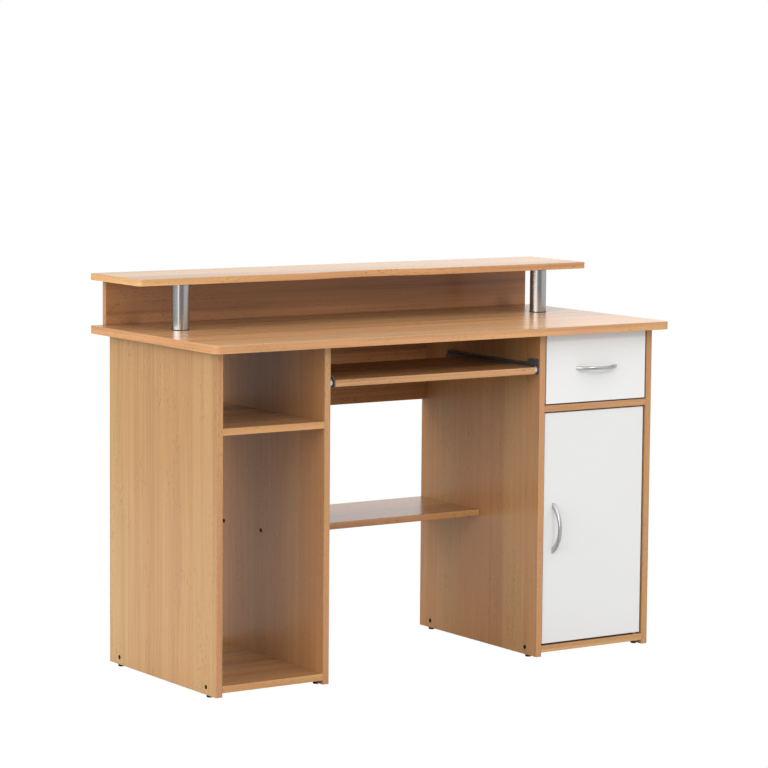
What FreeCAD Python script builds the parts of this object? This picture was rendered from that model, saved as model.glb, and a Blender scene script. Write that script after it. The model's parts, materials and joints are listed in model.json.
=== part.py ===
import FreeCAD, Part
import math
import os

# A computer desk of faced chipboard boards, all in millimetres, +Z up, front facing -Y.
# The origin is on the floor at the centre of the desktop's outline.
V = FreeCAD.Vector

# ---------------------------------------------------------------- driving dimensions
DESK_W = 1200.0            # desktop width
DESK_D = 535.0             # desktop depth
DESK_T = 18.0              # desktop thickness
BOARD_T = 15.0             # every other structural board
PANEL_H = 727.0            # upright panels, glide to desktop
PANEL_D = 460.0            # upright panels, front to back
GLIDE_H = 5.0              # plastic glide under each panel
END_OVERHANG = 25.0        # desktop past the outer panels
FRONT_OVERHANG = 36.0      # desktop past the panels' front edges
LEFT_PEDESTAL_W = 280.0
RIGHT_PEDESTAL_W = 317.0
CORNER_R = 18.0            # front corners of the desktop

SHELF_RISE = 552.5         # panel foot to underside of left shelf and right divider
BOTTOM_RISE = 9.0          # panel foot to underside of the bottom boards
BACK_T = 3.0               # hardboard back of the right pedestal
BACK_INSET = 23.0          # from the panels' back edges to the hardboard
BACK_GAP = 0.2             # between the hardboard and the boards in front of it
GROOVE_DEPTH = 6.0
GROOVE_SPARE = 0.5         # each groove deeper than the sheet's edge in it
GROOVE_PLAY = 0.1          # and wider on each side
CROSS_SHELF_RISE = 292.0
CROSS_SHELF_D = 236.0
KNEE_PANEL_RISE = 539.5

RISER_H = 100.0            # clear height of the riser
RISER_SHELF_D = 218.0
RISER_CORNER_R = 10.0      # front corners of the riser shelf
RISER_BACK_W = 1144.0
RISER_BACK_INSET = 2.0     # from the desktop's back edge
RECESS_HALF_W = 190.0      # shallow curve in the riser shelf's front edge
RECESS_DEPTH = 19.0
RECESS_BLEND = 85.0        # width of each rounded shoulder of that curve
RISER_DOWELS_AT = (-520.0, -200.0, 200.0, 520.0)
RISER_SCREWS_AT = (-400.0, 0.0, 400.0)
TUBE_D = 38.0
TUBE_WALL = 1.5
PLUG_RIM = 1.5             # dark rim at each end of a tube
PLUG_L = 15.0
PLUG_PROUD = 0.8           # rim past the tube all round
BOLT_R = 3.0
BOLT_HEAD_H = 3.0
BOLT_SOCKET_R = 2.0
BOLT_SOCKET_DEPTH = 1.8
BOLT_IN = 10.0             # bolt thread in the riser shelf
TUBE_X = 482.0             # tube centres, either side of the middle
TUBE_FROM_FRONT = 347.0    # tube centres, behind the desktop's front edge

TRAY_RISE = 639.5          # panel foot to underside of the keyboard tray
TRAY_D = 280.0
SLIDE_GAP = 13.0           # side room for one roller slide
SLIDE_L = 340.0
TRAY_SLIDE_IN = 4.0        # tray slides, behind the panels' front edges
STEEL_T = 1.2
ROLLER_R = 8.4
FRONT_ROLLER_W = 8.4
REAR_ROLLER_W = 7.2
ROLLER_Z = 7.75            # roller centre above the carried board's underside
AXLE_R = 2.5
SLIDE_TOP = 23.0           # fixed member's top, above the carried board's underside
SLIDE_LIP = 3.4            # its turned-down lip, from the carried board
SLIDE_TAB_L = 40.0         # raised tab at its front end
SLIDE_TAB_TOP = 32.5
SLIDE_TAB_R = 5.0
SLIDE_TRACK = 2.4          # lower flange of the fixed member, from the carried board
SLIDE_LIP_H = 4.4
FRONT_AXLE_IN = 12.0       # from the front end of the slide
REAR_AXLE_IN = 14.0        # from its rear end
FIXED_SCREWS_AT = (45.0, 170.0, 300.0)
RUNNER_SCREWS_AT = (40.0, 150.0, 250.0)
RUNNER_SCREW_IN = 5.0      # under the carried board, from its edge
TRAY_RUNNER_W = 12.0       # runner flange under the carried board
DRAWER_RUNNER_W = 11.0
RUNNER_FLANGE = 9.0        # upper flange that rides on the front roller
SMALL_HEAD_R = 3.2
SMALL_HEAD_H = 1.6
SMALL_SHANK_R = 1.75
SMALL_SCREW_L = 12.0
STEEL_HOLE_R = 2.0
FRONT_RIVET_R = 4.4
FRONT_RIVET_H = 1.0
REAR_RIVET_R = 4.0
REAR_RIVET_H = 0.8
ROLLER_EDGE = 0.8
ROLLER_PLAY = 0.1          # between a roller and its rivet head
FRONT_ROLLER_GAP = 0.4     # between a front roller and the fixed member's wall
REAR_ROLLER_GAP = 0.5      # between a rear roller and the runner's wall
RUNNING = 0.05             # radial clearance of everything that turns
ROLL_GAP = 0.10            # between a roller and the flange that runs on it

DRAWER_GAP = 4.0           # beside the drawer front
DRAWER_FRONT_RISE = 570.0
DRAWER_FRONT_H = 154.0
DRAWER_BOX_RISE = 585.0
DRAWER_SIDE_H = 110.0
DRAWER_SIDE_T = 12.0
DRAWER_BOX_L = 350.0
DRAWER_SLIDE_IN = 1.0      # drawer slides, behind the drawer front
DRAWER_BASE_UP = 8.0       # base groove above the sides' lower edges
DRAWER_GROOVE = 5.0
DRAWER_DOWEL_R = 3.0
DRAWER_DOWEL_L = 28.0
DRAWER_DOWEL_IN_FRONT = 9.0
DRAWER_DOWEL_IN_BACK = 19.0
DRAWER_FRONT_DOWELS = (25.0, 58.0, 90.0)    # above the sides' lower edges
DRAWER_BACK_DOWELS = (30.0, 90.0)

DOOR_FREE_GAP = 3.0        # at the handle side
DOOR_HINGE_GAP = 5.0       # at the pivot side, where the corner swings past
DOOR_RECESS = 3.0          # door face behind the panels' front edges
DOOR_RISE = 28.0
DOOR_H = 521.5
PIVOT_FROM_EDGE = 9.5
PIVOT_R = 3.0              # pin in the door, with a slimmer tip in its bush
PIVOT_IN = 15.0
PIVOT_TIP = 9.0            # tip in the bush
PIVOT_COLLAR_R = 4.5
BUSH_R = 4.0
BUSH_IN = 10.0
BUSH_FLANGE_R = 6.0
LOW_FLANGE = 1.5
HIGH_FLANGE = 1.0
DOOR_HANDLE_IN = 27.0      # handle line, from the free edge

CATCH_BELOW_TOP = 45.0     # foot of the plate below the door's top
PLATE_IN = 2.0             # from the door's free edge
PLATE_W = 12.0
PLATE_H = 36.0
PLATE_T = 1.2
CATCH_W = 14.0
CATCH_D = 16.0
CATCH_EXTRA = 5.0          # body past the plate at each end
CATCH_GAP = 2.8            # body behind the door
MAGNET_PROUD = 1.2
MAGNET_W = 9.0
MAGNET_D = 12.2
MAGNET_H = 10.0
MAGNET_PITCH = 18.0
CATCH_SCREW_PITCH = 38.0
CATCH_SCREW_L = 24.0

HANDLE_HOLES = 96.0
HANDLE_REACH = 30.0
HANDLE_HALF_L = 58.0
HANDLE_NECK = 22.0         # finger room behind the bow
HANDLE_NECK_HALF_L = 43.0
HANDLE_W = 7.5
HANDLE_ROUND = 2.4
HANDLE_SCREW_R = 1.9
HANDLE_SCREW_IN = 6.0      # screw in the handle
HANDLE_HEAD_R = 4.0
HANDLE_HEAD_H = 2.4
HANDLE_SLOT_L = 6.0
HANDLE_SLOT_W = 1.2

DOWEL_R = 4.0
DOWEL_L = 30.0
DOWEL_CHAMFER = 1.0
DOWEL_IN_TOP = 13.0        # in the 18 mm desktop
DOWEL_IN_BOARD = 10.0      # in the face of a 15 mm board
HOLE_SPARE = 0.5           # each hole deeper than what it holds
HOLE_SLACK = 0.1           # radial room round dowels and screws
SCREW_FROM_EDGE = 43.0     # board screws, from the panels' front and back edges
SCREW_HEAD_R = 4.6
SCREW_SHANK_R = 2.5
SCREW_L = 48.0
SCREW_HEAD_H = 4.0
SCREW_SOCKET_R = 2.1
SCREW_SOCKET_DEPTH = 2.6
CAM_R = 7.5
CAM_DEPTH = 12.5
CAM_SETBACK = 34.0          # cam centre to the board's end
CAM_BOLT_R = 3.0
CAM_BOLT_IN = 9.0           # bolt thread in the mating board
CAM_SLOT_L = 9.0
CAM_SLOT_W = 1.4

PANEL_DOWEL_IN = 90.0      # from a panel's front and back edges
PANEL_CAM_IN = 60.0
BOARD_DOWEL_IN = 110.0     # from the front and back edges of the boards between panels
BOARD_CAM_IN = 75.0
CROSS_SCREW_FRONT = 32.0   # from the cross shelf's front edge
CROSS_SCREW_BACK = 46.0
KNEE_DOWEL_IN = 35.0       # from the knee panel's lower and upper edges
GLIDE_R = 7.0
GLIDE_EDGE = 2.0
GLIDE_PIN_R = 2.5
GLIDE_PIN_L = 10.0
GLIDE_FROM_FRONT = 39.0
GLIDE_FROM_BACK = 39.0

# ---------------------------------------------------------------- levels and faces
FRONT = -DESK_D / 2
BACK = DESK_D / 2
PANEL_FRONT = FRONT + FRONT_OVERHANG
PANEL_BACK = PANEL_FRONT + PANEL_D
FOOT = GLIDE_H
DESK_UNDER = FOOT + PANEL_H
DESK_TOP = DESK_UNDER + DESK_T
RISER_UNDER = DESK_TOP + RISER_H
BACK_FACE = PANEL_BACK - BACK_INSET - BACK_T

LEFT_OUT = -DESK_W / 2 + END_OVERHANG
LEFT_IN = LEFT_OUT + BOARD_T                      # clear inside of the left pedestal
KNEE_LEFT = LEFT_OUT + LEFT_PEDESTAL_W
LEFT_FAR = KNEE_LEFT - BOARD_T
RIGHT_OUT = DESK_W / 2 - END_OVERHANG
RIGHT_FAR = RIGHT_OUT - BOARD_T
KNEE_RIGHT = RIGHT_OUT - RIGHT_PEDESTAL_W
RIGHT_IN = KNEE_RIGHT + BOARD_T                   # clear inside of the right pedestal

pieces = {}                # node name: list of solids
holes = {}                 # node name: list of solids to cut away


def box(x0, x1, y0, y1, z0, z1):
    return Part.makeBox(x1 - x0, y1 - y0, z1 - z0, V(x0, y0, z0))


def rod(x, y, z, direction, radius, length):
    return Part.makeCylinder(radius, length, V(x, y, z), V(*direction))


def arc(centre_x, centre_y, radius, start, end, z):
    """Arc in a level plane, angles in degrees."""
    def at(angle):
        turn = math.radians(angle)
        return V(centre_x + radius * math.cos(turn), centre_y + radius * math.sin(turn), z)
    return Part.Arc(at(start), at((start + end) / 2), at(end)).toShape()


def line(a, b):
    return Part.LineSegment(V(*a), V(*b)).toShape()


def add(name, shape):
    pieces.setdefault(name, []).append(shape)


def cut(name, shape):
    holes.setdefault(name, []).append(shape)


def round_edges(shape):
    return [edge for edge in shape.Edges if edge.Curve.TypeId == "Part::GeomCircle"]


def profile(points, y0, y1):
    """Prism along Y from an outline of (x, z) points."""
    corners = [V(x, y0, z) for x, z in points]
    face = Part.Face(Part.makePolygon(corners + corners[:1]))
    return face.extrude(V(0, y1 - y0, 0))


# ---------------------------------------------------------------- fasteners
def dowel(x, y, z, direction, into, holders, node, radius=DOWEL_R, length=DOWEL_L):
    """Beech dowel through the joint plane at (x, y, z), with the length 'into' ahead of it."""
    step = V(*direction)
    tail = V(x, y, z) - step * (length - into)
    peg = Part.makeCylinder(radius, length, tail, step)
    peg = peg.makeChamfer(DOWEL_CHAMFER, round_edges(peg))
    add(node, peg)
    for holder in holders:
        room = Part.makeCylinder(radius + HOLE_SLACK, length + 2 * HOLE_SPARE, tail - step * HOLE_SPARE, step)
        cut(holder, room)


def board_screw(x, y, z, direction, holders):
    """Connector screw with its flush head at (x, y, z), driven along direction."""
    step = V(*direction)
    start = V(x, y, z)
    neck = start + step * SCREW_HEAD_H
    length = SCREW_L - SCREW_HEAD_H
    shank = Part.makeCylinder(SCREW_SHANK_R, length, neck, step)
    head = Part.makeCylinder(SCREW_HEAD_R, SCREW_HEAD_H, start, step)
    socket = Part.makeCylinder(SCREW_SOCKET_R, SCREW_SOCKET_DEPTH, start, step)
    add("board_screws", head.fuse(shank).cut(socket))
    for holder in holders:
        wide = Part.makeCylinder(SCREW_HEAD_R + HOLE_SLACK, SCREW_HEAD_H + HOLE_SLACK, start, step)
        narrow = Part.makeCylinder(SCREW_SHANK_R + HOLE_SLACK, length + HOLE_SPARE, neck, step)
        cut(holder, wide.fuse(narrow))


def cam_joint(edge, along, face, panel, mate):
    """Cam lock let into a board's face, pulling on a bolt that stands in the mating board.

    edge is the point where the bolt crosses the joint, along points from there into the cam's
    board, and face points out of the surface that the cam is let into.
    """
    run = V(*along)
    out = V(*face)
    start = V(*edge)
    surface = start + run * CAM_SETBACK + out * (BOARD_T / 2)
    body = Part.makeCylinder(CAM_R - HOLE_SLACK, CAM_DEPTH, surface - out * CAM_DEPTH, out)
    bolt = Part.makeCylinder(CAM_BOLT_R, CAM_SETBACK + CAM_BOLT_IN, start - run * CAM_BOLT_IN, run)
    room = CAM_BOLT_R + HOLE_SLACK
    keyway = Part.makeCylinder(room, CAM_SETBACK + CAM_R, start, run)
    corner = V(-CAM_SLOT_L / 2, -CAM_SLOT_W / 2, -CAM_SLOT_W / 2)
    slot = Part.makeBox(CAM_SLOT_L, CAM_SLOT_W, CAM_SLOT_W, corner)
    slot.Placement = FreeCAD.Placement(surface, FreeCAD.Rotation(V(0, 0, 1), out))
    add("cam_locks", body.cut(keyway).cut(slot))
    add("cam_bolts", bolt)
    depth = CAM_DEPTH + HOLE_SPARE
    cut(panel, Part.makeCylinder(CAM_R, depth, surface - out * depth, out))
    cut(panel, Part.makeCylinder(room, CAM_SETBACK, start, run))
    depth = CAM_BOLT_IN + HOLE_SPARE
    cut(mate, Part.makeCylinder(room, depth, start - run * depth, run))


# ---------------------------------------------------------------- desktop and riser shelf
def top_outline(front, z, radius, recess):
    """Closed outline with rounded front corners, and a shallow curved recess if asked for."""
    half = DESK_W / 2
    edges = [line((half, front + radius, z), (half, BACK, z)),
             line((half, BACK, z), (-half, BACK, z)),
             line((-half, BACK, z), (-half, front + radius, z)),
             arc(-half + radius, front + radius, radius, 180, 270, z)]
    if recess:
        sweep = 2 * math.atan(RECESS_DEPTH / RECESS_HALF_W)
        shoulder_r = RECESS_BLEND / math.sin(sweep)
        hollow_r = (RECESS_HALF_W - RECESS_BLEND) / math.sin(sweep)
        turn = math.degrees(sweep)
        hollow_y = front + RECESS_DEPTH - hollow_r
        edges += [line((-half + radius, front, z), (-RECESS_HALF_W, front, z)),
                  arc(-RECESS_HALF_W, front + shoulder_r, shoulder_r, 270, 270 + turn, z),
                  arc(0, hollow_y, hollow_r, 90 + turn, 90 - turn, z),
                  arc(RECESS_HALF_W, front + shoulder_r, shoulder_r, 270 - turn, 270, z),
                  line((RECESS_HALF_W, front, z), (half - radius, front, z))]
    else:
        edges.append(line((-half + radius, front, z), (half - radius, front, z)))
    edges.append(arc(half - radius, front + radius, radius, 270, 360, z))
    return Part.Face(Part.Wire(Part.__sortEdges__(edges)))


def make_tops():
    add("desktop", top_outline(FRONT, DESK_UNDER, CORNER_R, False).extrude(V(0, 0, DESK_T)))
    shelf = top_outline(BACK - RISER_SHELF_D, RISER_UNDER, RISER_CORNER_R, True)
    add("riser_shelf", shelf.extrude(V(0, 0, BOARD_T)))


# ---------------------------------------------------------------- upright panels
PANELS = {"left_outer_panel": (LEFT_OUT, 0, 1), "left_inner_panel": (LEFT_FAR, 0, 1),
          "right_inner_panel": (KNEE_RIGHT, 1, 1), "right_outer_panel": (RIGHT_FAR, -1, -1)}


def make_panels():
    """Each panel: its left face, the side its back groove is on, if any, and the side its cams are on."""
    for name, (left, groove_side, cam_side) in PANELS.items():
        middle = left + BOARD_T / 2
        right = left + BOARD_T
        add(name, box(left, right, PANEL_FRONT, PANEL_BACK, FOOT, DESK_UNDER))
        if groove_side:
            groove = (right - GROOVE_DEPTH, right) if groove_side > 0 else (left, left + GROOVE_DEPTH)
            cut(name, box(*groove, BACK_FACE - GROOVE_PLAY, BACK_FACE + BACK_T + GROOVE_PLAY, FOOT,
                          DESK_UNDER))
        for y in (PANEL_FRONT + PANEL_DOWEL_IN, PANEL_BACK - PANEL_DOWEL_IN):
            dowel(middle, y, DESK_UNDER, (0, 0, 1), DOWEL_IN_TOP, (name, "desktop"), "wooden_dowels")
        for y in (PANEL_FRONT + PANEL_CAM_IN, PANEL_BACK - PANEL_CAM_IN):
            cam_joint((middle, y, DESK_UNDER), (0, 0, -1), (cam_side, 0, 0), name, "desktop")
        for y in (PANEL_FRONT + GLIDE_FROM_FRONT, PANEL_BACK - GLIDE_FROM_BACK):
            make_glide(middle, y, name)


def make_glide(x, y, panel):
    pad = rod(x, y, 0, (0, 0, 1), GLIDE_R, GLIDE_H)
    pad = pad.makeFillet(GLIDE_EDGE, [e for e in pad.Edges if e.BoundBox.ZMax < 0.01])
    add("glides", pad.fuse(rod(x, y, GLIDE_H, (0, 0, 1), GLIDE_PIN_R, GLIDE_PIN_L)))
    cut(panel, rod(x, y, GLIDE_H, (0, 0, 1), GLIDE_PIN_R + HOLE_SLACK, GLIDE_PIN_L + HOLE_SPARE))


# ---------------------------------------------------------------- boards inside the pedestals
def pedestal_board(name, x0, x1, back, rise, left_panel, right_panel, screwed):
    z0 = FOOT + rise
    middle = z0 + BOARD_T / 2
    add(name, box(x0, x1, PANEL_FRONT, back, z0, z0 + BOARD_T))
    if screwed:
        for y in (PANEL_FRONT + SCREW_FROM_EDGE, PANEL_BACK - SCREW_FROM_EDGE):
            board_screw(x0 - BOARD_T, y, middle, (1, 0, 0), (left_panel, name))
            board_screw(x1 + BOARD_T, y, middle, (-1, 0, 0), (right_panel, name))
        return
    for y in (PANEL_FRONT + BOARD_DOWEL_IN, back - BOARD_DOWEL_IN):
        dowel(x0, y, middle, (-1, 0, 0), DOWEL_IN_BOARD, (name, left_panel), "wooden_dowels")
        dowel(x1, y, middle, (1, 0, 0), DOWEL_IN_BOARD, (name, right_panel), "wooden_dowels")
    for y in (PANEL_FRONT + BOARD_CAM_IN, back - BOARD_CAM_IN):
        cam_joint((x0, y, middle), (1, 0, 0), (0, 0, -1), name, left_panel)
        cam_joint((x1, y, middle), (-1, 0, 0), (0, 0, -1), name, right_panel)


def make_pedestals():
    """The left pedestal is open at the back, and the right one has a hardboard back in grooves."""
    left = ("left_outer_panel", "left_inner_panel")
    right = ("right_inner_panel", "right_outer_panel")
    pedestal_board("left_shelf", LEFT_IN, LEFT_FAR, PANEL_BACK, SHELF_RISE, *left, False)
    pedestal_board("left_bottom_board", LEFT_IN, LEFT_FAR, PANEL_BACK, BOTTOM_RISE, *left, True)
    back = BACK_FACE - BACK_GAP
    pedestal_board("right_divider", RIGHT_IN, RIGHT_FAR, back, SHELF_RISE, *right, False)
    pedestal_board("right_bottom_board", RIGHT_IN, RIGHT_FAR, back, BOTTOM_RISE, *right, True)
    reach = GROOVE_DEPTH - GROOVE_SPARE
    add("right_pedestal_back", box(RIGHT_IN - reach, RIGHT_FAR + reach, BACK_FACE, BACK_FACE + BACK_T,
                                   FOOT + BOTTOM_RISE, DESK_UNDER))


def make_knee_boards():
    """The low cross shelf and the panel behind the knees, both between the pedestals."""
    z0 = FOOT + CROSS_SHELF_RISE
    front = PANEL_BACK - CROSS_SHELF_D
    middle = z0 + BOARD_T / 2
    add("cross_shelf", box(KNEE_LEFT, KNEE_RIGHT, front, PANEL_BACK, z0, z0 + BOARD_T))
    for y in (front + CROSS_SCREW_FRONT, PANEL_BACK - CROSS_SCREW_BACK):
        board_screw(LEFT_FAR, y, middle, (1, 0, 0), ("left_inner_panel", "cross_shelf"))
        board_screw(RIGHT_IN, y, middle, (-1, 0, 0), ("right_inner_panel", "cross_shelf"))
    low = FOOT + KNEE_PANEL_RISE
    face = PANEL_BACK - BOARD_T
    add("knee_panel", box(KNEE_LEFT, KNEE_RIGHT, face, PANEL_BACK, low, DESK_UNDER))
    depth = face + BOARD_T / 2
    left = ("knee_panel", "left_inner_panel")
    right = ("knee_panel", "right_inner_panel")
    for z in (low + KNEE_DOWEL_IN, DESK_UNDER - KNEE_DOWEL_IN):
        dowel(KNEE_LEFT, depth, z, (-1, 0, 0), DOWEL_IN_BOARD, left, "wooden_dowels")
        dowel(KNEE_RIGHT, depth, z, (1, 0, 0), DOWEL_IN_BOARD, right, "wooden_dowels")
    z = (low + DESK_UNDER) / 2
    cam_joint((KNEE_LEFT, depth, z), (1, 0, 0), (0, 1, 0), *left)
    cam_joint((KNEE_RIGHT, depth, z), (-1, 0, 0), (0, 1, 0), *right)


# ---------------------------------------------------------------- riser
def make_riser():
    half = RISER_BACK_W / 2
    back = BACK - RISER_BACK_INSET
    middle = back - BOARD_T / 2
    add("riser_back_board", box(-half, half, back - BOARD_T, back, DESK_TOP, RISER_UNDER))
    low = ("riser_back_board", "desktop")
    high = ("riser_back_board", "riser_shelf")
    for x in RISER_DOWELS_AT:
        dowel(x, middle, DESK_TOP, (0, 0, -1), DOWEL_IN_TOP, low, "wooden_dowels")
        dowel(x, middle, RISER_UNDER, (0, 0, 1), DOWEL_IN_BOARD, high, "wooden_dowels")
    for x in RISER_SCREWS_AT:
        board_screw(x, middle, DESK_UNDER, (0, 0, 1), ("desktop", "riser_back_board"))
    for side, x in (("left", -TUBE_X), ("right", TUBE_X)):
        make_tube(side, x, FRONT + TUBE_FROM_FRONT)


def make_tube(side, x, y):
    """A satin metal tube between two rimmed plugs, held by one long bolt from below."""
    low = DESK_TOP + PLUG_RIM
    high = RISER_UNDER - PLUG_RIM
    inner = TUBE_D / 2 - TUBE_WALL
    room = BOLT_R + HOLE_SLACK
    tube = rod(x, y, low, (0, 0, 1), TUBE_D / 2, high - low)
    add(side + "_riser_tube", tube.cut(rod(x, y, low - 1, (0, 0, 1), inner, high - low + 2)))
    for end, way in ((DESK_TOP, 1), (RISER_UNDER, -1)):
        collar = rod(x, y, end, (0, 0, way), TUBE_D / 2 + PLUG_PROUD, PLUG_RIM)
        core = rod(x, y, end, (0, 0, way), inner - HOLE_SLACK, PLUG_L)
        bore = rod(x, y, end, (0, 0, way), room, PLUG_L)
        add("riser_tube_plugs", collar.fuse(core).cut(bore))
    head = rod(x, y, DESK_UNDER - BOLT_HEAD_H, (0, 0, 1), 2 * BOLT_R, BOLT_HEAD_H)
    socket = rod(x, y, DESK_UNDER - BOLT_HEAD_H, (0, 0, 1), BOLT_SOCKET_R, BOLT_SOCKET_DEPTH)
    reach = DESK_T + RISER_H + BOLT_IN
    shank = rod(x, y, DESK_UNDER, (0, 0, 1), BOLT_R, reach)
    add("riser_tube_bolts", head.fuse(shank).cut(socket))
    cut("desktop", rod(x, y, DESK_UNDER - 1, (0, 0, 1), room, DESK_T + 2))
    cut("riser_shelf", rod(x, y, RISER_UNDER, (0, 0, 1), room, BOLT_IN + HOLE_SPARE))


# ---------------------------------------------------------------- roller slides
class Slide:
    """One roller slide: a fixed member on a panel's face and a runner under a moving board.

    side is 1 when the panel stands on the board's right and -1 on its left. face is the panel's
    face, under the level of the board's underside, and start the slide's front end. Widths run
    from the board (0) to the panel (SLIDE_GAP), and heights from the board's underside.
    """

    def __init__(self, prefix, side, face, under, start):
        self.prefix = prefix
        self.hand = "right" if side > 0 else "left"
        self.side = side
        self.edge = face - side * SLIDE_GAP
        self.under = under
        self.y0 = start
        self.y1 = start + SLIDE_L
        self.front_axle = start + FRONT_AXLE_IN
        self.rear_axle = self.y1 - REAR_AXLE_IN

    def across(self, width):
        return self.edge + self.side * width

    def section(self, points):
        outline = [(self.across(width), self.under + height) for width, height in points]
        return profile(outline, self.y0, self.y1)

    def pin(self, width, y, radius, length):
        """Cylinder across the slide at the rollers' height."""
        return rod(self.across(width), y, self.under + ROLLER_Z, (self.side, 0, 0), radius, length)

    def upright(self, y, height, radius, length):
        """Cylinder standing where the runner is screwed to the board."""
        return rod(self.across(-RUNNER_SCREW_IN), y, self.under + height, (0, 0, 1), radius, length)

    def fixed_member(self, panel):
        """Channel open towards the board, with a raised tab at its front end."""
        wall = SLIDE_GAP - STEEL_T
        track = ROLLER_Z - ROLLER_R - ROLL_GAP
        inner_lip = SLIDE_LIP + STEEL_T
        low_lip = SLIDE_TOP - SLIDE_LIP_H
        channel = self.section([(SLIDE_GAP, track - STEEL_T), (SLIDE_TRACK, track - STEEL_T),
                                (SLIDE_TRACK, track), (wall, track), (wall, SLIDE_TOP - STEEL_T),
                                (inner_lip, SLIDE_TOP - STEEL_T), (inner_lip, low_lip),
                                (SLIDE_LIP, low_lip), (SLIDE_LIP, SLIDE_TOP), (SLIDE_GAP, SLIDE_TOP)])
        x0, x1 = sorted((self.across(wall), self.across(SLIDE_GAP)))
        tab = box(x0, x1, self.y0, self.y0 + SLIDE_TAB_L, self.under + SLIDE_TOP - 1,
                  self.under + SLIDE_TAB_TOP)
        corner = [e for e in tab.Edges if e.BoundBox.YMin > self.y0 + 1
                  and e.BoundBox.ZMin > self.under + SLIDE_TOP + 1]
        channel = channel.fuse(tab.makeFillet(SLIDE_TAB_R, corner))
        channel = channel.cut(self.pin(wall - 1, self.front_axle, AXLE_R, STEEL_T + 2))
        for offset in FIXED_SCREWS_AT:
            y = self.y0 + offset
            channel = channel.cut(self.pin(wall - 1, y, STEEL_HOLE_R, STEEL_T + 2))
            head = self.pin(wall - SMALL_HEAD_H, y, SMALL_HEAD_R, SMALL_HEAD_H)
            add("slide_screws", head.fuse(self.pin(wall, y, SMALL_SHANK_R, SMALL_SCREW_L)))
            cut(panel, self.pin(SLIDE_GAP, y, SMALL_SHANK_R + HOLE_SLACK, SMALL_SCREW_L))
        add(f"{self.prefix}_fixed_slide_{self.hand}", channel.removeSplitter())

    def runner(self, board, inset):
        """Angle under the board, with a flange above that rolls on the front roller."""
        ride = ROLLER_Z + ROLLER_R + ROLL_GAP
        angle = self.section([(-inset, -STEEL_T), (STEEL_T, -STEEL_T), (STEEL_T, ride),
                              (RUNNER_FLANGE, ride), (RUNNER_FLANGE, ride + STEEL_T),
                              (0, ride + STEEL_T), (0, 0), (-inset, 0)])
        angle = angle.cut(self.pin(-1, self.rear_axle, AXLE_R, STEEL_T + 2))
        for offset in RUNNER_SCREWS_AT:
            y = self.y0 + offset
            angle = angle.cut(self.upright(y, -STEEL_T - 1, STEEL_HOLE_R, STEEL_T + 2))
            head = self.upright(y, -STEEL_T - SMALL_HEAD_H, SMALL_HEAD_R, SMALL_HEAD_H)
            screw = head.fuse(self.upright(y, -STEEL_T, SMALL_SHANK_R, SMALL_SCREW_L))
            add(f"{self.prefix}_runner_screws", screw)
            cut(board, self.upright(y, 0.0, SMALL_SHANK_R + HOLE_SLACK, SMALL_SCREW_L))
        add(f"{self.prefix}_runner_{self.hand}", angle)

    def wheel(self, width, y, thickness):
        disc = self.pin(width, y, ROLLER_R, thickness)
        disc = disc.makeFillet(ROLLER_EDGE, round_edges(disc))
        return disc.cut(self.pin(width - 1, y, AXLE_R + RUNNING, thickness + 2))

    def rollers(self):
        """The front roller turns on the fixed member and the rear one on the runner."""
        inner = SLIDE_GAP - STEEL_T - FRONT_ROLLER_GAP - FRONT_ROLLER_W
        add(f"{self.prefix}_front_rollers", self.wheel(inner, self.front_axle, FRONT_ROLLER_W))
        tip = inner - ROLLER_PLAY
        shaft = self.pin(tip, self.front_axle, AXLE_R, SLIDE_GAP - tip)
        head = self.pin(tip - FRONT_RIVET_H, self.front_axle, FRONT_RIVET_R, FRONT_RIVET_H)
        add("front_roller_rivets", shaft.fuse(head))
        inner = STEEL_T + REAR_ROLLER_GAP
        add(f"{self.prefix}_rear_rollers", self.wheel(inner, self.rear_axle, REAR_ROLLER_W))
        tip = inner + REAR_ROLLER_W + ROLLER_PLAY
        shaft = self.pin(0, self.rear_axle, AXLE_R, tip)
        head = self.pin(tip, self.rear_axle, REAR_RIVET_R, REAR_RIVET_H)
        add(f"{self.prefix}_rear_rivets", shaft.fuse(head))


def make_slide(prefix, side, face, under, start, panel, board, inset):
    slide = Slide(prefix, side, face, under, start)
    slide.fixed_member(panel)
    slide.runner(board, inset)
    slide.rollers()


def make_tray():
    under = FOOT + TRAY_RISE
    x0 = KNEE_LEFT + SLIDE_GAP
    x1 = KNEE_RIGHT - SLIDE_GAP
    add("keyboard_tray", box(x0, x1, PANEL_FRONT, PANEL_FRONT + TRAY_D, under, under + BOARD_T))
    start = PANEL_FRONT + TRAY_SLIDE_IN
    for side, face, panel in ((-1, KNEE_LEFT, "left_inner_panel"), (1, KNEE_RIGHT, "right_inner_panel")):
        make_slide("tray", side, face, under, start, panel, "keyboard_tray", TRAY_RUNNER_W)


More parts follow.
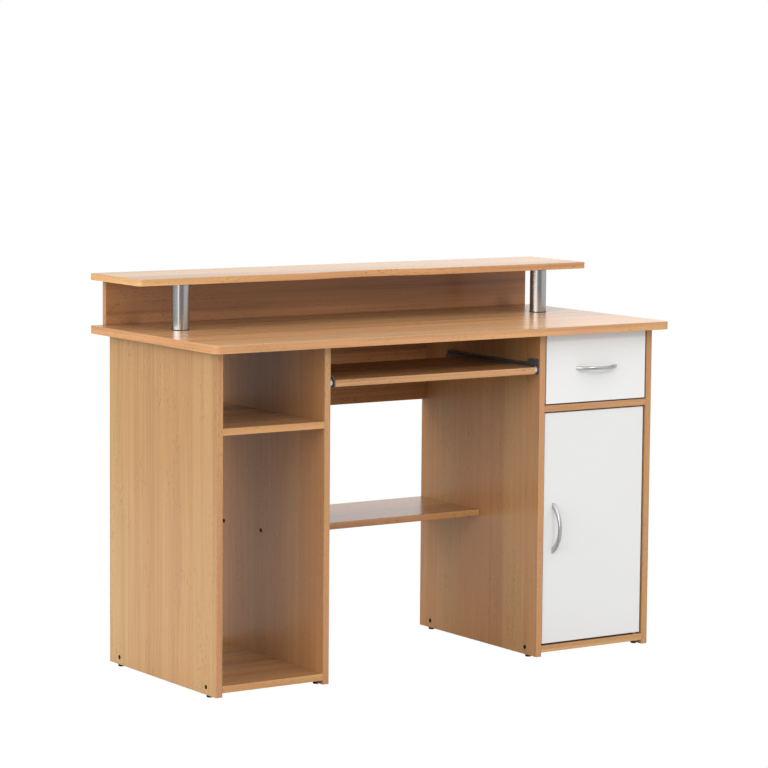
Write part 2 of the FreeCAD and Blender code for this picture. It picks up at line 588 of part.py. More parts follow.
# ---------------------------------------------------------------- bow handle
def bow_handle(board, prefix, x, y, z, upright):
    """Cast bow, a crescent between two arcs, standing on a board's front face at y."""
    def arch(half, reach):
        return Part.Arc(V(-half, 0, 0), V(0, -reach, 0), V(half, 0, 0)).toShape()

    feet = [line((side * HANDLE_HALF_L, 0, 0), (side * HANDLE_NECK_HALF_L, 0, 0)) for side in (-1, 1)]
    arcs = [arch(HANDLE_HALF_L, HANDLE_REACH), arch(HANDLE_NECK_HALF_L, HANDLE_NECK)]
    bow = Part.Face(Part.Wire(Part.__sortEdges__(arcs + feet))).extrude(V(0, 0, HANDLE_W))
    bow.translate(V(0, 0, -HANDLE_W / 2))
    bow = bow.makeFillet(HANDLE_ROUND, round_edges(bow))
    forward = V(0, -1, 0)
    bore = HANDLE_SCREW_R + HOLE_SLACK
    for end in (-HANDLE_HOLES / 2, HANDLE_HOLES / 2):
        bow = bow.cut(Part.makeCylinder(bore, HANDLE_SCREW_IN + 1, V(end, 0.5, 0), forward))
        shank = Part.makeCylinder(HANDLE_SCREW_R, BOARD_T + HANDLE_SCREW_IN, V(end, BOARD_T, 0), forward)
        head = Part.makeCylinder(HANDLE_HEAD_R, HANDLE_HEAD_H, V(end, BOARD_T, 0), -forward)
        corner = V(end - HANDLE_SLOT_L / 2, BOARD_T + HANDLE_HEAD_H - 1, -HANDLE_SLOT_W / 2)
        slot = Part.makeBox(HANDLE_SLOT_L, HANDLE_SLOT_W, HANDLE_SLOT_W, corner)
        room = Part.makeCylinder(bore + HOLE_SLACK, BOARD_T + 2, V(end, BOARD_T + 1, 0), forward)
        add(prefix + "_screws", placed(head.fuse(shank).cut(slot), x, y, z, upright))
        cut(board, placed(room, x, y, z, upright))
    add(prefix + "_handle", placed(bow, x, y, z, upright))


def placed(shape, x, y, z, upright):
    turned = shape.copy()
    if upright:
        turned.rotate(V(0, 0, 0), V(0, 1, 0), 90)
    turned.translate(V(x, y, z))
    return turned


# ---------------------------------------------------------------- drawer
def drawer_dowel(x, y, z, direction, into, side, board):
    dowel(x, y, z, direction, into, (side, board), "drawer_dowels", DRAWER_DOWEL_R, DRAWER_DOWEL_L)


def make_drawer():
    front_x0 = RIGHT_IN + DRAWER_GAP
    front_x1 = RIGHT_FAR - DRAWER_GAP
    front_z0 = FOOT + DRAWER_FRONT_RISE
    inner = PANEL_FRONT + BOARD_T
    under = FOOT + DRAWER_BOX_RISE
    x0 = RIGHT_IN + SLIDE_GAP
    x1 = RIGHT_FAR - SLIDE_GAP
    end = inner + DRAWER_BOX_L
    base = under + DRAWER_BASE_UP
    top = under + DRAWER_SIDE_H
    add("drawer_front", box(front_x0, front_x1, PANEL_FRONT, inner, front_z0, front_z0 + DRAWER_FRONT_H))
    inner_x0 = x0 + DRAWER_SIDE_T
    inner_x1 = x1 - DRAWER_SIDE_T
    add("drawer_side_left", box(x0, inner_x0, inner, end, under, top))
    add("drawer_side_right", box(inner_x1, x1, inner, end, under, top))
    add("drawer_back", box(inner_x0, inner_x1, end - DRAWER_SIDE_T, end,
                           base + BACK_T + GROOVE_PLAY, top))
    reach = DRAWER_GROOVE - GROOVE_SPARE
    add("drawer_base", box(inner_x0 - reach, inner_x1 + reach, inner - reach, end, base, base + BACK_T))
    groove = box(inner_x0 - DRAWER_GROOVE, inner_x1 + DRAWER_GROOVE, inner - DRAWER_GROOVE, end + 1,
                 base - GROOVE_PLAY, base + BACK_T + GROOVE_PLAY)
    for name in ("drawer_front", "drawer_side_left", "drawer_side_right"):
        cut(name, groove)
    sides = (("drawer_side_left", x0, 1), ("drawer_side_right", x1, -1))
    for name, outside, way in sides:
        middle = outside + way * DRAWER_SIDE_T / 2
        for rise in DRAWER_FRONT_DOWELS:
            drawer_dowel(middle, inner, under + rise, (0, -1, 0), DRAWER_DOWEL_IN_FRONT, name, "drawer_front")
        for rise in DRAWER_BACK_DOWELS:
            drawer_dowel(outside + way * DRAWER_SIDE_T, end - DRAWER_SIDE_T / 2, under + rise,
                         (way, 0, 0), DRAWER_DOWEL_IN_BACK, name, "drawer_back")
    start = inner + DRAWER_SLIDE_IN
    for side, face, panel, board in ((-1, RIGHT_IN, "right_inner_panel", "drawer_side_left"),
                                     (1, RIGHT_FAR, "right_outer_panel", "drawer_side_right")):
        make_slide("drawer", side, face, under, start, panel, board, DRAWER_RUNNER_W)
    middle = front_z0 + DRAWER_FRONT_H / 2
    bow_handle("drawer_front", "drawer", (front_x0 + front_x1) / 2, PANEL_FRONT, middle, False)


# ---------------------------------------------------------------- cupboard door
def make_door():
    x0 = RIGHT_IN + DOOR_FREE_GAP
    x1 = RIGHT_FAR - DOOR_HINGE_GAP
    y0 = PANEL_FRONT + DOOR_RECESS
    y1 = y0 + BOARD_T
    z0 = FOOT + DOOR_RISE
    z1 = z0 + DOOR_H
    add("door", box(x0, x1, y0, y1, z0, z1))
    bow_handle("door", "door", x0 + DOOR_HANDLE_IN, y0, (z0 + z1) / 2, True)
    px = x1 - PIVOT_FROM_EDGE
    py = (y0 + y1) / 2
    floor = FOOT + BOTTOM_RISE + BOARD_T
    ceiling = FOOT + SHELF_RISE
    pivot(px, py, z0, floor, -1, LOW_FLANGE, "right_bottom_board")
    pivot(px, py, z1, ceiling, 1, HIGH_FLANGE, "right_divider")
    make_catch(x0, y1, z1)


def pivot(x, y, door_edge, board_face, way, flange, board):
    """Pin let into the door's edge, turning in a flanged bush let into the board it faces."""
    gap = abs(board_face - door_edge)
    body = rod(x, y, door_edge, (0, 0, -way), PIVOT_R, PIVOT_IN)
    pin = body.fuse(rod(x, y, door_edge, (0, 0, way), AXLE_R, gap + PIVOT_TIP))
    if way < 0:
        pin = pin.fuse(rod(x, y, door_edge, (0, 0, way), PIVOT_COLLAR_R, gap - flange - RUNNING))
    add("door_pivot_pins", pin)
    cut("door", rod(x, y, door_edge, (0, 0, -way), PIVOT_R + HOLE_SLACK, PIVOT_IN + HOLE_SPARE))
    bush = rod(x, y, board_face, (0, 0, way), BUSH_R, BUSH_IN)
    bush = bush.fuse(rod(x, y, board_face, (0, 0, -way), BUSH_FLANGE_R, flange))
    bore = rod(x, y, board_face - way * (flange + 1), (0, 0, way), AXLE_R + RUNNING, flange + BUSH_IN)
    add("door_pivot_bushes", bush.cut(bore))
    cut(board, rod(x, y, board_face, (0, 0, way), BUSH_R + HOLE_SLACK, BUSH_IN + HOLE_SPARE))


def make_catch(door_x, door_back, door_top):
    """Magnetic catch on the side panel and the steel plate that it holds on the door."""
    x = door_x + PLATE_IN
    z = door_top - CATCH_BELOW_TOP
    middle = z + PLATE_H / 2
    face = door_back + PLATE_T
    screw_x = x + PLATE_W / 2
    plate = box(x, x + PLATE_W, door_back, face, z, z + PLATE_H)
    add("catch_plate", plate.cut(rod(screw_x, door_back - 1, middle, (0, 1, 0), STEEL_HOLE_R, PLATE_T + 2)))
    screw = rod(screw_x, face, middle, (0, -1, 0), SMALL_SHANK_R, SMALL_SCREW_L)
    add("door_screws", screw.fuse(rod(screw_x, face, middle, (0, 1, 0), SMALL_HEAD_R, SMALL_HEAD_H)))
    cut("door", rod(screw_x, face, middle, (0, -1, 0), SMALL_SHANK_R + HOLE_SLACK, SMALL_SCREW_L))
    y0 = door_back + CATCH_GAP
    y1 = y0 + CATCH_D
    outer = RIGHT_IN + CATCH_W
    body = box(RIGHT_IN, outer, y0, y1, z - CATCH_EXTRA, z + PLATE_H + CATCH_EXTRA)
    x = RIGHT_IN + (CATCH_W - MAGNET_W) / 2
    front = y0 - MAGNET_PROUD
    for centre in (middle - MAGNET_PITCH / 2, middle + MAGNET_PITCH / 2):
        low = centre - MAGNET_H / 2
        magnet = box(x, x + MAGNET_W, front, front + MAGNET_D, low, low + MAGNET_H)
        add("catch_magnets", magnet)
        body = body.cut(magnet)
    y = y1 - CATCH_D / 3
    for z in (middle - CATCH_SCREW_PITCH / 2, middle + CATCH_SCREW_PITCH / 2):
        body = body.cut(rod(RIGHT_IN - 1, y, z, (1, 0, 0), STEEL_HOLE_R, CATCH_W + 2))
        head = rod(outer, y, z, (1, 0, 0), SMALL_HEAD_R, SMALL_HEAD_H)
        add("catch_screws", head.fuse(rod(outer, y, z, (-1, 0, 0), SMALL_SHANK_R, CATCH_SCREW_L)))
        hole = rod(RIGHT_IN + 1, y, z, (-1, 0, 0), SMALL_SHANK_R + HOLE_SLACK, CATCH_SCREW_L - CATCH_W + 2)
        cut("right_inner_panel", hole)
    add("catch_body", body)


# ---------------------------------------------------------------- build and write
def main():
    make_tops()
    make_panels()
    make_pedestals()
    make_knee_boards()
    make_riser()
    make_tray()
    make_drawer()
    make_door()
    os.makedirs("parts", exist_ok=True)
    for name, solids in pieces.items():
        shapes = solids
        if name in holes:
            shapes = [solid.cut(holes[name]) for solid in solids]
        shape = shapes[0] if len(shapes) == 1 else Part.makeCompound(shapes)
        shape.exportStep(os.path.join("parts", name + ".step"))
        print(name, "solids:", len(shape.Solids), "valid:", shape.isValid())
    print(len(pieces), "nodes")


main()
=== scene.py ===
import json
import math
from collections import namedtuple

import bmesh
import bpy
from mathutils import Matrix, Vector


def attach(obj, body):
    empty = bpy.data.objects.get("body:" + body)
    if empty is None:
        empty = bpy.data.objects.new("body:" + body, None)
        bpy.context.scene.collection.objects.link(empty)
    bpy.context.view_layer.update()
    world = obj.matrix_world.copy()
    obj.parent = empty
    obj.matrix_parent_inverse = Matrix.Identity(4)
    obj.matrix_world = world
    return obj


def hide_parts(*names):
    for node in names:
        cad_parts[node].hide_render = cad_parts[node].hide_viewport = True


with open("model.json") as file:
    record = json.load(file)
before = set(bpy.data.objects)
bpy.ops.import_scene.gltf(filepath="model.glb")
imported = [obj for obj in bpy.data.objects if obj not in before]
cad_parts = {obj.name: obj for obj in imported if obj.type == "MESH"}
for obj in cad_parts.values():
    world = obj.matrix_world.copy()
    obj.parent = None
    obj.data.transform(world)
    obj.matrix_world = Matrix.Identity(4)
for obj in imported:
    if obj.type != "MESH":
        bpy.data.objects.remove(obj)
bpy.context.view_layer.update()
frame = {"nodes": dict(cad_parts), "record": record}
NODES = frame["nodes"]
BODY_OF = {node: body for body, nodes in frame["record"]["behaviour"]["bodies"].items() for node in nodes}

# ---------------------------------------------------------------- camera, metres and degrees
# place, angles and lens came from a least-squares fit in a scratch program
CAMERA_PLACE = (-3.7912, -5.6329, 1.3584)
CAMERA_YAW = 33.92          # towards +X from +Y
CAMERA_PITCH = -6.26        # below the horizon
CAMERA_ROLL = 0.49
CAMERA_LENS = 143.13        # mm
SENSOR = 36.0               # mm
FAR_CLIP = 100.0

# ---------------------------------------------------------------- studio, metres and degrees
# radiance of the studio walls round the desk, by azimuth from straight in front towards +X: these and
# SKY_TOP are a scratch program's least-squares fit, rounded and then nudged by hand by up to 0.2
WALLS = ((-180, 0.0), (-140, 0.5), (-100, 4.1), (-60, 3.3), (-20, 0.1),
         (20, 0.8), (60, 0.8), (100, 0.1), (140, 1.3), (180, 0.0))
# radiance of the far floor below the horizon, which the tubes and handles reflect
FAR_FLOOR = ((-180, 0.2), (-150, 0.4), (-70, 0.42), (-62, 1.6), (-55, 1.6), (-47, 0.3),
             (0, 0.3), (26, 0.75), (94, 0.8), (140, 0.25), (180, 0.2))
SKY_TOP = 1.6               # radiance overhead
HORIZON = (-0.02, 0.0)      # sines of elevation between which the far floor turns into wall
SKYLINE = (0.35, 0.75)      # and the wall into sky
FLOOR_GREY = 0.5
FLOOR_REACH = 3.2
FLOOR_SIDES = 96
KEY_ELEVATION = 28
KEY_DISTANCE = 3.6
KEY_SIDE = 0.40
KEY_RADIANCE = 44.0
KEY_AIM = Vector((0.0, 0.0, 0.45))
WHITE = (1.0, 1.0, 1.0)

# ---------------------------------------------------------------- eased edges, metres and degrees
WELD = 1e-5
FLAT_ANGLE = 0.3            # triangles this near to level become one face
EDGE_ANGLE = 40             # edges sharper than this are eased
SMOOTH_ANGLE = 18           # steps smaller than this are shaded as one curve
BOARD_EASE = 0.0007
FRONT_EASE = 0.0010

# ---------------------------------------------------------------- colours, linear
# the three edge-band colours carry scale factors from the same fit as the walls
PINK_BEECH = (0.412, 0.210, 0.091)
GOLD_BEECH = (0.418, 0.242, 0.104)
BAND_BEECH = (0.510, 0.245, 0.100)
BAND_BLUSH = (0.530, 0.238, 0.121)
BAND_GOLD = (0.490, 0.272, 0.104)
LINE_BEECH = (0.240, 0.108, 0.045)
RUST_BEECH = (0.300, 0.125, 0.052)
FLECK_BEECH = (0.160, 0.066, 0.028)
WHITE_FOIL = (0.772, 0.770, 0.758)
WHITE_BOARD = (0.740, 0.730, 0.700)
HARDBOARD_DARK = (0.165, 0.088, 0.042)
HARDBOARD_LIGHT = (0.330, 0.205, 0.110)
HARDBOARD_BLOTCH = (0.220, 0.120, 0.060)
PALE_FOIL_DARK = (0.620, 0.600, 0.560)
PALE_FOIL_LIGHT = (0.660, 0.640, 0.600)
WOOD_DARK = (0.500, 0.330, 0.170)
WOOD_LIGHT = (0.640, 0.450, 0.260)
# painted shade: the door's white is darkened against the drawer's, though both are one foil, because less
# light falls on the door
DOOR_PAINTED_SHADE = 0.94           # the door's white against the drawer's

# ---------------------------------------------------------------- patterns in the beech print
LEAVES = 11.0               # printed leaves per metre across the grain
RINGS = 62.0                # growth lines per metre
RING_WANDER = 5.5           # how far they stray, in lines
BAND_START = 3.1            # the edge band's print starts this far from the face's
SEED_STEPS = (1.37, 0.53, 0.29)
Pattern = namedtuple("Pattern", "along across detail rough")    # waves per metre, octaves, their strength
FIGURE = Pattern(1.1, 26.0, 2.0, 0.55)
DRIFT = Pattern(0.8, 9.0, 1.0, 0.5)
RIBBON = Pattern(0.6, 62.0, 2.0, 0.6)
STREAK = Pattern(2.4, 170.0, 3.0, 0.65)
FIBRE = Pattern(14.0, 700.0, 2.0, 0.5)
BLUSH = Pattern(9.0, 60.0, 2.0, 0.5)
TICKS = Pattern(120.0, 700.0, 1.0, 0.5)
WANDER = Pattern(1.6, 8.0, 1.0, 0.5)
PATCHES = Pattern(1.2, 7.0, 1.0, 0.5)
DASHES = Pattern(95.0, 620.0, 0.0, 0.5)
CROWDS = Pattern(5.0, 17.0, 2.0, 0.5)

# ---------------------------------------------------------------- boards
# grain, across and thickness axes, tints, and the strength of the rust streaks and of the broad figure;
# the face and band tints are painted light and shade, making each kind of board lighter, darker or redder
# as light falls where it stands, though all are one foil
Foil = namedtuple("Foil", "along across through face_tint band_tint rust depth")
X, Y, Z = 0, 1, 2
LYING = Foil(X, Y, Z, (1.08, 1.08, 1.08), (1.07, 1.12, 1.17), rust=0.55, depth=3.0)
SHELF = Foil(X, Y, Z, (0.86, 0.80, 0.76), (0.95, 0.91, 0.90), rust=0.45, depth=1.8)
OUTER = Foil(Z, Y, X, (1.04, 1.10, 1.08), (1.00, 1.01, 1.04), rust=0.22, depth=1.1)
INNER = Foil(Z, Y, X, (1.06, 1.01, 0.93), (1.00, 1.01, 1.06), rust=0.15, depth=0.7)
RAIL = Foil(X, Z, Y, (1.04, 0.85, 0.75), (1.00, 1.00, 1.00), rust=0.70, depth=2.5)
BOARDS = {"desktop": LYING, "riser_shelf": LYING, "left_shelf": SHELF, "left_bottom_board": SHELF,
          "right_divider": LYING, "right_bottom_board": LYING, "cross_shelf": SHELF,
          "keyboard_tray": LYING, "left_outer_panel": OUTER, "left_inner_panel": INNER,
          "right_inner_panel": INNER, "right_outer_panel": OUTER, "riser_back_board": RAIL,
          "knee_panel": RAIL}


# ---------------------------------------------------------------- node trees
class Graph:
    """A node tree. Each method takes sockets or plain values and returns an output socket."""

    def __init__(self, owner):
        owner.use_nodes = True
        self.tree = owner.node_tree
        self.tree.nodes.clear()

    def feed(self, socket, value):
        if isinstance(value, bpy.types.NodeSocket):
            self.tree.links.new(value, socket)
        elif socket.type == "RGBA" and len(value) == 3:
            socket.default_value = (*value, 1.0)
        else:
            socket.default_value = value

    def put(self, kind, inputs=None, **settings):
        node = self.tree.nodes.new(kind)
        for key, value in settings.items():
            setattr(node, key, value)
        for key, value in (inputs or {}).items():
            self.feed(node.inputs[key], value)
        return node

    def math(self, operation, a, b=0.0):
        return self.put("ShaderNodeMath", {0: a, 1: b}, operation=operation).outputs[0]

    def total(self, *values):
        result = values[0]
        for value in values[1:]:
            result = self.math("ADD", result, value)
        return result

    def scaled(self, value, factor):
        return self.math("MULTIPLY", value, factor)

    def swing(self, value, size):
        """A value round 0.5 as a value round zero, times size."""
        return self.scaled(self.total(value, -0.5), size)

    def vector(self, x, y, z):
        return self.put("ShaderNodeCombineXYZ", {0: x, 1: y, 2: z}).outputs[0]

    def parts(self, vector):
        return self.put("ShaderNodeSeparateXYZ", {0: vector}).outputs

    def vector_math(self, operation, a, b):
        return self.put("ShaderNodeVectorMath", {0: a, 1: b}, operation=operation).outputs[0]

    def blend(self, factor, a, b, way="MIX"):
        node = self.put("ShaderNodeMix", data_type="RGBA", blend_type=way)
        for key, value in ((0, factor), (6, a), (7, b)):
            self.feed(node.inputs[key], value)
        return node.outputs[2]

    def blend_number(self, factor, a, b):
        return self.put("ShaderNodeMix", {0: factor, 2: a, 3: b}, data_type="FLOAT").outputs[0]

    def blend_vector(self, factor, a, b):
        node = self.put("ShaderNodeMix", data_type="VECTOR")
        for key, value in ((0, factor), (4, a), (5, b)):
            self.feed(node.inputs[key], value)
        return node.outputs[1]

    def noise(self, place, detail=2.0, rough=0.5):
        settings = {"Vector": place, "Scale": 1.0, "Detail": detail, "Roughness": rough}
        return self.put("ShaderNodeTexNoise", settings).outputs["Fac"]

    def ramp(self, value, start, end, low=0.0, high=1.0):
        """Smooth step from low to high as value goes from start to end."""
        inputs = {"Value": value, "From Min": start, "From Max": end, "To Min": low, "To Max": high}
        return self.put("ShaderNodeMapRange", inputs, interpolation_type="SMOOTHSTEP").outputs[0]

    def bump(self, height, strength, distance):
        inputs = {"Height": height, "Strength": strength, "Distance": distance}
        return self.put("ShaderNodeBump", inputs).outputs[0]


class Recipe(Graph):
    """One material's nodes."""

    def __init__(self, name):
        self.material = bpy.data.materials.new(name)
        super().__init__(self.material)
        self.output = self.tree.nodes.new("ShaderNodeOutputMaterial")

    def speckle(self, x, y, z, detail=2.0, rough=0.5):
        """Noise in the object's own space, with so many waves per metre along each axis."""
        place = self.put("ShaderNodeTexCoord").outputs["Object"]
        return self.noise(self.vector_math("MULTIPLY", place, (x, y, z)), detail, rough)

    def finish(self, **inputs):
        """Principled shader; keywords are its socket names with underscores for spaces."""
        named = {key.replace("_", " "): value for key, value in inputs.items()}
        shader = self.put("ShaderNodeBsdfPrincipled", named)
        self.tree.links.new(shader.outputs[0], self.output.inputs["Surface"])
        return self.material


# ---------------------------------------------------------------- beech foil
class Beech(Recipe):
    """Printed beech on a board's faces, and beech band along its edges."""

    def __init__(self, name, foil, seed):
        super().__init__(name)
        self.foil = foil
        place = self.put("ShaderNodeTexCoord").outputs
        at = self.parts(place["Object"])
        facing = self.parts(place["Normal"])
        self.edge = self.math("LESS_THAN", self.math("ABSOLUTE", facing[foil.through]), 0.5)
        on_face = self.vector(at[foil.along], at[foil.across], at[foil.through])
        on_edge = self.vector(self.total(at[foil.along], at[foil.across]),
                              self.total(at[foil.through], BAND_START), 0.0)
        shift = tuple(seed * step for step in SEED_STEPS)
        self.grain = self.vector_math("ADD", self.blend_vector(self.edge, on_face, on_edge), shift)
        self.side = self.parts(self.grain)[1]
        self.figure = self.grained(FIGURE)
        self.ribbon = self.grained(RIBBON)
        self.fibre = self.grained(FIBRE)
        self.leaf, self.border = self.leaves()

    def grained(self, pattern):
        stretch = (pattern.along, pattern.across, pattern.across)
        return self.noise(self.vector_math("MULTIPLY", self.grain, stretch), pattern.detail, pattern.rough)

    def leaves(self):
        """Three random numbers for each printed leaf, and the distance to its border."""
        cells = {"W": self.scaled(self.side, LEAVES), "Scale": 1.0}
        inside = self.put("ShaderNodeTexVoronoi", cells, voronoi_dimensions="1D")
        rim = self.put("ShaderNodeTexVoronoi", cells, voronoi_dimensions="1D", feature="DISTANCE_TO_EDGE")
        numbers = self.put("ShaderNodeSeparateColor", {0: inside.outputs["Color"]}).outputs
        return numbers, rim.outputs["Distance"]

    def face_colour(self):
        gold = self.total(self.scaled(self.leaf[0], 0.60), self.scaled(self.figure, 0.9),
                          self.scaled(self.grained(DRIFT), 0.5), -0.52)
        colour = self.blend(self.ramp(gold, 0.10, 0.90), PINK_BEECH, GOLD_BEECH)
        # painted light and shade: this kind of board's face tint, set for how light falls on it
        colour = self.blend(1.0, colour, self.foil.face_tint, "MULTIPLY")
        rust = self.scaled(self.ramp(self.ribbon, 0.52, 0.72), self.foil.rust)
        return self.blend(rust, colour, RUST_BEECH)

    def band_colour(self):
        colour = self.blend(self.ramp(self.figure, 0.35, 0.70), BAND_BEECH, BAND_GOLD)
        blush = self.scaled(self.ramp(self.grained(BLUSH), 0.52, 0.70), 0.75)
        colour = self.blend(blush, colour, BAND_BLUSH)
        ticks = self.scaled(self.ramp(self.grained(TICKS), 0.58, 0.70), 0.35)
        colour = self.blend(ticks, colour, RUST_BEECH)
        # painted light and shade: this kind of board's edge-band tint, set for how light falls on it
        return self.blend(1.0, colour, self.foil.band_tint, "MULTIPLY")

    def dark_lines(self):
        """Growth lines in patches, and the seams between some of the leaves."""
        turns = self.total(self.scaled(self.side, RINGS), self.scaled(self.grained(WANDER), RING_WANDER))
        rings = self.math("SINE", self.scaled(turns, 2 * math.pi))
        patch = self.ramp(self.grained(PATCHES), 0.48, 0.66)
        lines = self.math("MULTIPLY", self.ramp(rings, 0.55, 1.0), patch)
        seam = self.ramp(self.border, 0.0, 0.035, low=1.0, high=0.0)
        seams = self.math("MULTIPLY", seam, self.ramp(self.leaf[2], 0.3, 0.9))
        return self.math("MAXIMUM", self.scaled(lines, 0.18), self.scaled(seams, 0.30))

    def tone(self):
        """Lighter and darker leaves, streaks and fibres, as a grey to multiply with."""
        depth = self.foil.depth
        broad = self.total(self.swing(self.leaf[1], 0.13), self.swing(self.figure, 0.26),
                           self.swing(self.ribbon, 0.22))
        tone = self.total(1.0, self.scaled(broad, depth),
                          self.swing(self.grained(STREAK), 0.14 + 0.17 * depth),
                          self.swing(self.fibre, 0.24))
        return self.put("ShaderNodeCombineColor", {0: tone, 1: tone, 2: tone}).outputs[0]

    def build(self):
        dashes = self.ramp(self.grained(DASHES), 0.67, 0.75)
        flecks = self.math("MULTIPLY", dashes, self.ramp(self.grained(CROWDS), 0.42, 0.60))
        colour = self.blend(self.edge, self.face_colour(), self.band_colour())
        colour = self.blend(self.dark_lines(), colour, LINE_BEECH)
        colour = self.blend(self.scaled(flecks, 0.55), colour, FLECK_BEECH)
        colour = self.blend(1.0, colour, self.tone(), "MULTIPLY")
        relief = self.total(self.scaled(self.fibre, 0.5), self.scaled(dashes, -0.6))
        return self.finish(Base_Color=colour, Roughness=self.total(0.20, self.scaled(self.fibre, 0.10)),
                           Normal=self.bump(relief, strength=0.10, distance=0.0002), IOR=1.5)


# ---------------------------------------------------------------- other materials
def shaded(colour, factor):
    return tuple(factor * part for part in colour)


def white_foil(name, colour):
    r = Recipe(name)
    cloud = r.speckle(6, 6, 6, detail=3.0)
    peel = r.speckle(900, 900, 900, detail=1.0)
    tone = r.blend(r.scaled(cloud, 0.5), colour, shaded(colour, 0.975))
    return r.finish(Base_Color=tone, Roughness=r.total(0.30, r.scaled(cloud, 0.08)),
                    Normal=r.bump(peel, strength=0.05, distance=0.0002), IOR=1.48)


def hardboard():
    """Pale foil towards the front, bare brown fibres behind."""
    r = Recipe("hardboard")
    facing = r.parts(r.put("ShaderNodeTexCoord").outputs["Normal"])
    fibres = r.speckle(420, 420, 420, detail=4.0, rough=0.7)
    mottle = r.speckle(30, 30, 30, detail=3.0)
    brown = r.blend(fibres, HARDBOARD_DARK, HARDBOARD_LIGHT)
    brown = r.blend(r.scaled(mottle, 0.4), brown, HARDBOARD_BLOTCH)
    pale = r.blend(mottle, PALE_FOIL_DARK, PALE_FOIL_LIGHT)
    rear = r.math("GREATER_THAN", facing[Y], 0.5)
    relief = r.bump(fibres, strength=r.blend_number(rear, 0.03, 0.35), distance=0.0004)
    return r.finish(Base_Color=r.blend(rear, pale, brown), Roughness=r.blend_number(rear, 0.45, 0.75),
                    Normal=relief)


def metal(name, colour, rough, brush=(300, 300, 300), wear=0.12, relief=0.04):
    r = Recipe(name)
    marks = r.speckle(*brush, detail=3.0, rough=0.6)
    cloud = r.speckle(40, 40, 40)
    tone = r.blend(r.scaled(cloud, 0.35), colour, shaded(colour, 0.88))
    return r.finish(Base_Color=tone, Metallic=1.0, Roughness=r.total(rough, r.scaled(marks, wear)),
                    Normal=r.bump(marks, strength=relief, distance=0.0001))


def plastic(name, colour, rough, bend=1.5):
    r = Recipe(name)
    skin = r.speckle(1400, 1400, 1400, detail=1.0)
    cloud = r.speckle(60, 60, 60)
    tone = r.blend(r.scaled(cloud, 0.5), colour, shaded(colour, 0.85))
    return r.finish(Base_Color=tone, Roughness=r.total(rough, r.scaled(cloud, 0.08)),
                    Normal=r.bump(skin, strength=0.15, distance=0.0002), IOR=bend)


def plain_wood(name):
    r = Recipe(name)
    fibre = r.speckle(60, 60, 500, detail=3.0, rough=0.6)
    return r.finish(Base_Color=r.blend(fibre, WOOD_DARK, WOOD_LIGHT), Roughness=0.6,
                    Normal=r.bump(fibre, strength=0.2, distance=0.0003))


# ---------------------------------------------------------------- dressing the nodes
def dress(node, material):
    slots = NODES[node].data.materials
    slots.clear()
    slots.append(material)


def dress_boards():
    for seed, (node, foil) in enumerate(BOARDS.items(), start=1):
        dress(node, Beech("beech_" + node, foil, float(seed)).build())


def named_fittings():
    """Material of each fitting whose own name decides it."""
    drawer_white = white_foil("drawer_board", WHITE_BOARD)
    black = plastic("black_plastic", (0.006, 0.006, 0.006), 0.55, bend=1.3)
    tube = metal("satin_tube", (0.49, 0.48, 0.47), 0.14, brush=(30, 30, 900), wear=0.06, relief=0.006)
    handle = metal("silver_handle", (0.53, 0.53, 0.53), 0.21, wear=0.08)
    wood = plain_wood("dowel_wood")
    back = hardboard()
    return {"drawer_front": white_foil("white_front", WHITE_FOIL),
            # painted shade: the door takes a darkened copy of the front's white foil
            "door": white_foil("white_door_painted_shade", shaded(WHITE_FOIL, DOOR_PAINTED_SHADE)),
            "drawer_side_left": drawer_white, "drawer_side_right": drawer_white,
            "drawer_back": drawer_white, "right_pedestal_back": back, "drawer_base": back,
            "wooden_dowels": wood, "drawer_dowels": wood, "glides": black, "riser_tube_plugs": black,
            "left_riser_tube": tube, "right_riser_tube": tube,
            "drawer_handle": handle, "door_handle": handle,
            "board_screws": plastic("dark_screw", (0.008, 0.005, 0.003), 0.6, bend=1.2),
            "catch_magnets": plastic("magnet", (0.03, 0.03, 0.032), 0.55),
            "door_pivot_bushes": plastic("brown_plastic", (0.110, 0.062, 0.032), 0.45)}


def dress_fittings():
    named = named_fittings()
    nylon = plastic("white_nylon", (0.78, 0.77, 0.74), 0.35)
    steel = plastic("coated_steel", (0.095, 0.094, 0.090), 0.38)
    zinc = metal("zinc_fitting", (0.58, 0.56, 0.50), 0.32)
    for node in NODES:
        if node in BOARDS:
            continue
        if node in named:
            dress(node, named[node])
        elif node.endswith("rollers") or node == "catch_body":
            dress(node, nylon)
        elif "_fixed_slide_" in node or node.endswith(("runner_left", "runner_right")):
            dress(node, steel)
        else:
            dress(node, zinc)


# ---------------------------------------------------------------- eased edges
def ease(node, radius):
    """A copy of a board with its sharp edges rounded, which stands for the CAD node."""
    data = NODES[node].data.copy()
    shape = bmesh.new()
    shape.from_mesh(data)
    bmesh.ops.remove_doubles(shape, verts=shape.verts, dist=WELD)
    bmesh.ops.dissolve_limit(shape, angle_limit=math.radians(FLAT_ANGLE), verts=shape.verts,
                             edges=shape.edges)
    limit = math.radians(EDGE_ANGLE)
    sharp = [e for e in shape.edges if len(e.link_faces) == 2 and e.calc_face_angle() > limit]
    bmesh.ops.bevel(shape, geom=sharp, offset=radius, segments=2, profile=0.5, affect="EDGES",
                    clamp_overlap=False)
    shape.to_mesh(data)
    shape.free()
    if "custom_normal" in data.attributes:
        data.attributes.remove(data.attributes["custom_normal"])
    data.shade_smooth()
    data.set_sharp_from_angle(angle=math.radians(SMOOTH_ANGLE))
    piece = bpy.data.objects.new(node + "_eased", data)
    bpy.context.scene.collection.objects.link(piece)
    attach(piece, BODY_OF[node])
    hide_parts(node)


def ease_all():
    for node in BOARDS:
        ease(node, BOARD_EASE)
    for node in ("drawer_front", "door"):
        ease(node, FRONT_EASE)


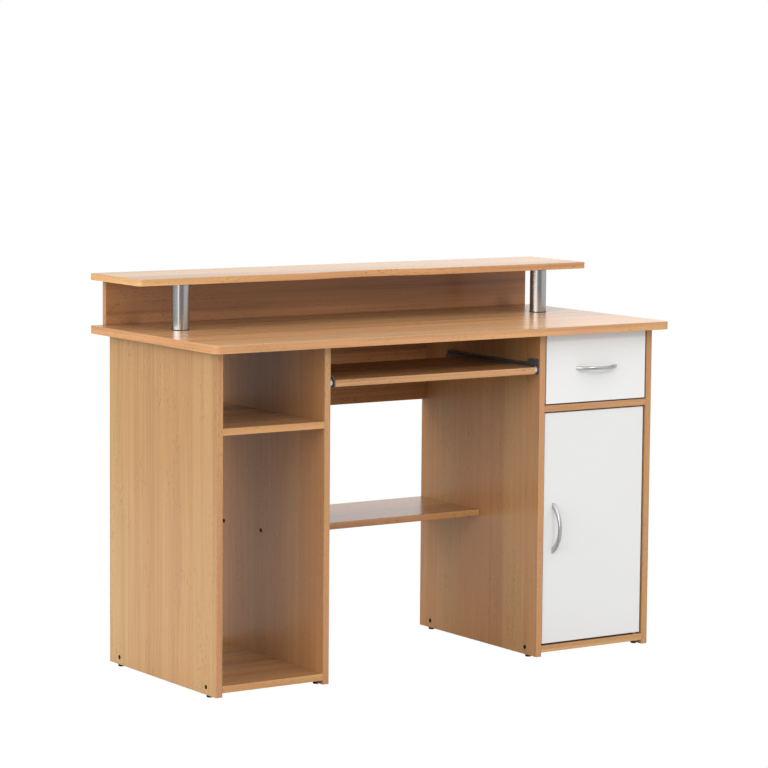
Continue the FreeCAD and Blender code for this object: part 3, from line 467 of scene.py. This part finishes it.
# ---------------------------------------------------------------- studio
def make_camera():
    yaw, pitch, roll = (math.radians(a) for a in (CAMERA_YAW, CAMERA_PITCH, CAMERA_ROLL))
    ahead = Vector((math.sin(yaw) * math.cos(pitch), math.cos(yaw) * math.cos(pitch), math.sin(pitch)))
    level = Vector((math.cos(yaw), -math.sin(yaw), 0.0))
    above = level.cross(ahead)
    side = math.cos(roll) * level + math.sin(roll) * above
    top = math.cos(roll) * above - math.sin(roll) * level
    turn = Matrix((side, top, -ahead)).transposed().to_4x4()
    data = bpy.data.cameras.new("camera")
    data.lens = CAMERA_LENS
    data.sensor_width = SENSOR
    data.clip_end = FAR_CLIP
    camera = bpy.data.objects.new("camera", data)
    camera.matrix_world = Matrix.Translation(CAMERA_PLACE) @ turn
    bpy.context.scene.collection.objects.link(camera)
    bpy.context.scene.camera = camera


def make_key_light():
    """A small softbox straight in front of the desk, above it."""
    lift = math.radians(KEY_ELEVATION)
    way = Vector((0.0, -math.cos(lift), math.sin(lift)))
    data = bpy.data.lights.new("key_softbox", "AREA")
    data.shape = "SQUARE"
    data.size = KEY_SIDE
    data.energy = KEY_RADIANCE * KEY_SIDE ** 2 * math.pi
    light = bpy.data.objects.new("key_softbox", data)
    light.location = KEY_AIM + way * KEY_DISTANCE
    light.rotation_mode = "QUATERNION"
    light.rotation_quaternion = (-way).to_track_quat("-Z", "Y")
    bpy.context.scene.collection.objects.link(light)


def make_disc(name, material):
    mesh = bpy.data.meshes.new(name)
    around = [2 * math.pi * i / FLOOR_SIDES for i in range(FLOOR_SIDES)]
    rim = [(FLOOR_REACH * math.cos(a), FLOOR_REACH * math.sin(a), 0.0) for a in around]
    mesh.from_pydata(rim, [], [list(range(FLOOR_SIDES))])
    mesh.materials.append(material)
    disc = bpy.data.objects.new(name, mesh)
    bpy.context.scene.collection.objects.link(disc)
    return disc


def make_floor():
    """A white sheet that only the camera sees, and a grey floor that only light sees."""
    r = Recipe("white_sheet")
    white = r.put("ShaderNodeEmission", {"Color": WHITE, "Strength": 1.0})
    r.tree.links.new(white.outputs[0], r.output.inputs["Surface"])
    sheet = make_disc("white_sheet", r.material)
    sheet.visible_diffuse = False
    sheet.visible_glossy = False
    sheet.visible_transmission = False
    sheet.visible_shadow = False
    grey = Recipe("floor").finish(Base_Color=shaded(WHITE, FLOOR_GREY), Roughness=0.9,
                                  Specular_IOR_Level=0.0)
    make_disc("floor", grey).visible_camera = False


def ring(g, azimuth, stops):
    """Radiance round the horizon, straight between the stops."""
    node = g.put("ShaderNodeValToRGB", {0: g.total(g.scaled(azimuth, 0.5 / math.pi), 0.5)})
    peak = max(radiance for _, radiance in stops)
    marks = node.color_ramp.elements
    while len(marks) < len(stops):
        marks.new(1.0)
    for mark, (degrees, radiance) in zip(marks, stops):
        mark.position = degrees / 360 + 0.5
        mark.color = (*shaded(WHITE, radiance / peak), 1.0)
    return g.scaled(node.outputs[0], peak)


def make_sky():
    """The studio as the desk is lit by it; what the camera sees of it is plain white."""
    world = bpy.data.worlds.new("studio")
    bpy.context.scene.world = world
    g = Graph(world)
    x, y, z = g.parts(g.put("ShaderNodeTexCoord").outputs["Generated"])
    azimuth = g.math("ARCTAN2", x, g.scaled(y, -1.0))
    sides = g.blend_number(g.ramp(z, *HORIZON), ring(g, azimuth, FAR_FLOOR), ring(g, azimuth, WALLS))
    light = g.blend_number(g.ramp(z, *SKYLINE), sides, SKY_TOP)
    seen = g.put("ShaderNodeLightPath").outputs["Is Camera Ray"]
    back = g.put("ShaderNodeBackground", {"Color": WHITE, "Strength": g.blend_number(seen, light, 1.0)})
    out = g.put("ShaderNodeOutputWorld")
    g.tree.links.new(back.outputs[0], out.inputs["Surface"])


dress_boards()
dress_fittings()
ease_all()
make_camera()
make_sky()
make_floor()
make_key_light()
bpy.context.scene.view_settings.view_transform = "Standard"
